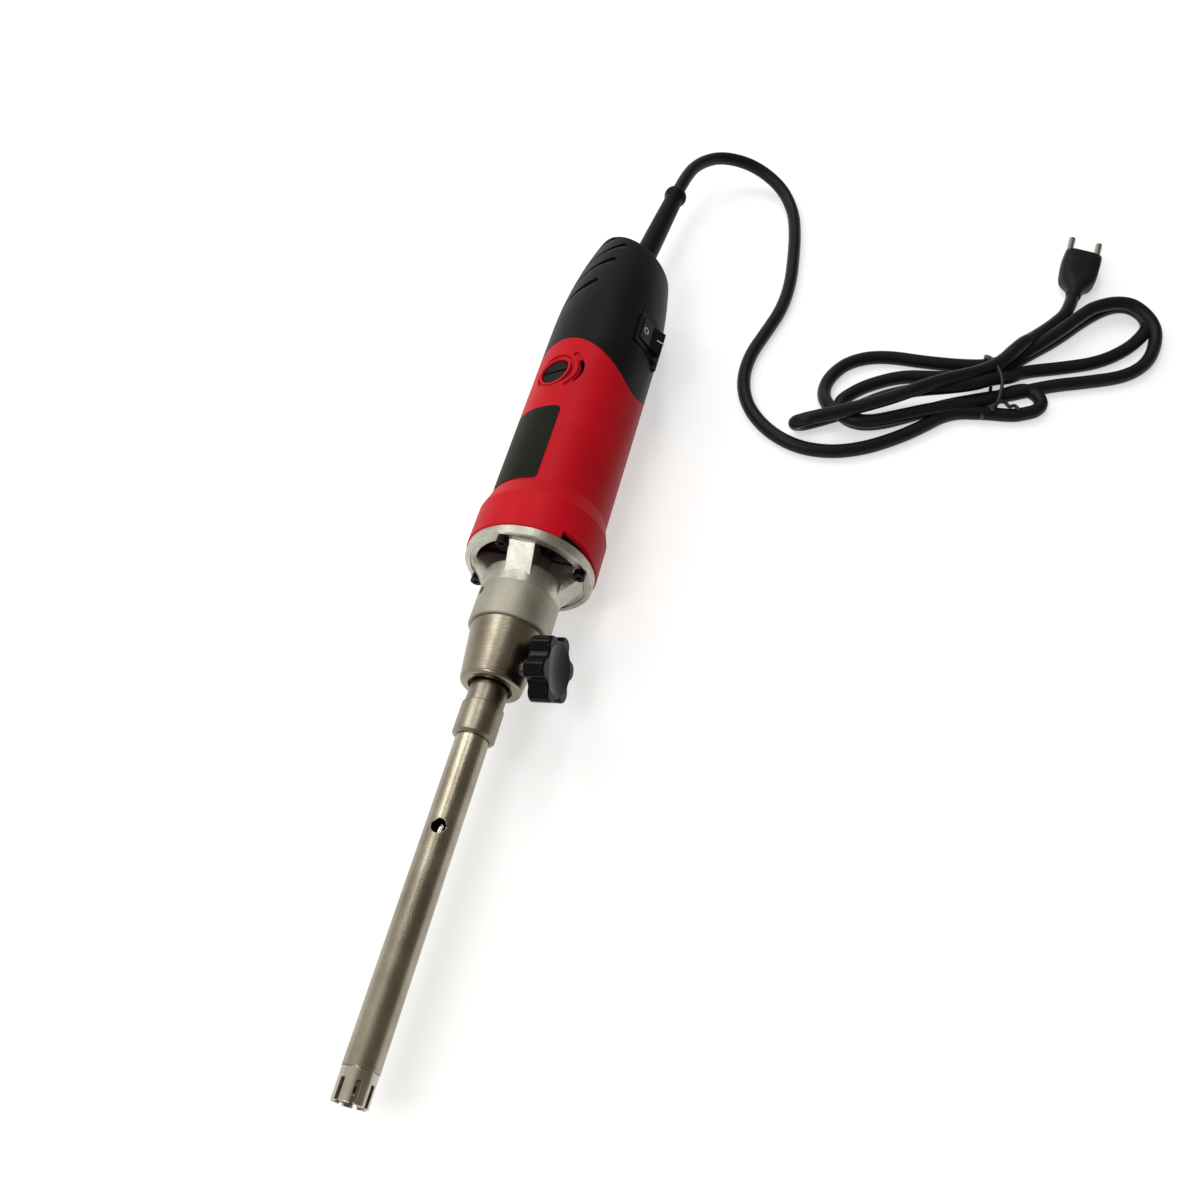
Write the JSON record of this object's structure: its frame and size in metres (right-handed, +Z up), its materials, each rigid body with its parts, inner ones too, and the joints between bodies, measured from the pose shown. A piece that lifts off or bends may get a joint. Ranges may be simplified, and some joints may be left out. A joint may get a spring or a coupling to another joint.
{
  "type": "rotor stator homogenizer",
  "caption": "Hand-held rotor-stator homogenizer: red and black motor unit with a clamp socket, a slotted steel dispersing tool and a mains cord tied in a loose hank.",
  "frame": {"origin": "on the tool's axis, where the stator tube's lower end meets the stator head", "axes": "+X along the tool's axis from the motor towards the dispersing head, +Z up as the machine lies on a bench, 38.3 mm above it, +Y to the side of the clamp knob"},
  "size_m": [0.7072, 0.4011, 0.0766],
  "materials": {
    "tube_steel": "brushed along the tube",
    "turned_steel": "turned, fine",
    "bush_plastic": "machined",
    "rotor_steel": "turned",
    "shaft_steel": "ground",
    "socket_nickel": "satin nickel",
    "ring_grey": "satin anodised, warm grey",
    "bracket_cast": "die cast, fine grain",
    "screw_black": "black oxide",
    "knob_black": "moulded, glossy",
    "stud_zinc": "bright zinc",
    "pad_brass": "turned",
    "housing_red": "moulded, satin gloss",
    "cover_black": "moulded, fine satin",
    "cap_olive": "moulded",
    "holder_brown": "moulded",
    "brush_carbon": "pressed carbon",
    "spring_steel": "drawn wire",
    "bearing_steel": "ground",
    "core_steel": "varnished laminations",
    "winding_copper": "enamelled wire, varnished",
    "commutator_copper": "turned",
    "fan_plastic": "moulded",
    "baffle_brown": "pressed fibre board",
    "coupling_steel": "turned",
    "switch_black": "moulded",
    "rocker_black": "moulded",
    "terminal_brass": "stamped",
    "cord_rubber": "extruded sheath",
    "relief_rubber": "moulded",
    "tie_black": "coated wire",
    "plug_black": "moulded",
    "pin_nickel": "nickel plated"
  },
  "bodies": {
    "motor_unit": {"motor_housing": "housing_red", "rear_cover": "cover_black", "front_bracket": "bracket_cast", "clamp_ring": "ring_grey", "ring_set_screws": "screw_black", "flange_screws": "screw_black", "cover_screws": "screw_black", "cone_socket": "socket_nickel", "field_core": "core_steel", "field_coils": "winding_copper", "front_bearing_outer": "bearing_steel", "rear_bearing_outer": "bearing_steel", "air_baffle": "baffle_brown", "brush_holders": "holder_brown", "carbon_brushes": "brush_carbon", "brush_springs": "spring_steel", "brush_caps": "cap_olive", "switch_body": "switch_black", "switch_terminals": "terminal_brass", "strain_relief": "relief_rubber", "mains_cord": "cord_rubber", "cord_hank": "cord_rubber", "hank_tie": "tie_black", "cord_plug": "plug_black", "plug_pins": "pin_nickel"},
    "armature": {"motor_shaft": "shaft_steel", "armature_core": "core_steel", "armature_windings": "winding_copper", "commutator": "commutator_copper", "cooling_fan": "fan_plastic", "front_bearing_inner": "bearing_steel", "rear_bearing_inner": "bearing_steel", "drive_coupling": "coupling_steel"},
    "tool": {"stator_tube": "tube_steel", "stator_head": "turned_steel", "tool_sleeve": "turned_steel", "lower_bush": "bush_plastic", "mid_bush": "bush_plastic", "tool_bearing_outer": "bearing_steel", "bearing_circlip": "spring_steel"},
    "shaft": {"drive_shaft": "shaft_steel", "rotor": "rotor_steel", "rotor_nut": "rotor_steel", "tool_bearing_inner": "bearing_steel"},
    "pad": {"clamp_pad": "pad_brass"},
    "knob": {"star_knob": "knob_black", "knob_stud": "stud_zinc"},
    "rocker": {"switch_rocker": "rocker_black"}
  },
  "joints": [
    {"name": "motor_spin", "type": "hinge", "parent": "motor_unit", "child": "armature", "pos_m": [-0.36, 0, 0], "axis": [1, 0, 0], "continuous": true},
    {"name": "tool_slide", "type": "slide", "parent": "motor_unit", "child": "tool", "axis": [1, 0, 0], "range_m": [0, 0.03]},
    {"name": "shaft_spin", "type": "hinge", "parent": "tool", "child": "shaft", "pos_m": [-0.1, 0, 0], "axis": [1, 0, 0], "continuous": true},
    {"name": "clamp_travel", "type": "slide", "parent": "motor_unit", "child": "pad", "axis": [0, 0.9455, 0.3256], "range_m": [0, 0.00375]},
    {"name": "knob_turn", "type": "hinge", "parent": "pad", "child": "knob", "pos_m": [-0.2121, 0, 0], "axis": [0, 0.9455, 0.3256], "range_deg": [0, 1080]},
    {"name": "rocker_tilt", "type": "hinge", "parent": "motor_unit", "child": "rocker", "pos_m": [-0.455, 0.02917, 0.01726], "axis": [1, 0, 0], "range_deg": [-24, 0]}
  ],
  "couplings": [
    {"joint": "shaft_spin", "follows": "motor_spin", "ratio": 1},
    {"joint": "clamp_travel", "follows": "knob_turn", "m_per_rad": 0.00019894}
  ]
}
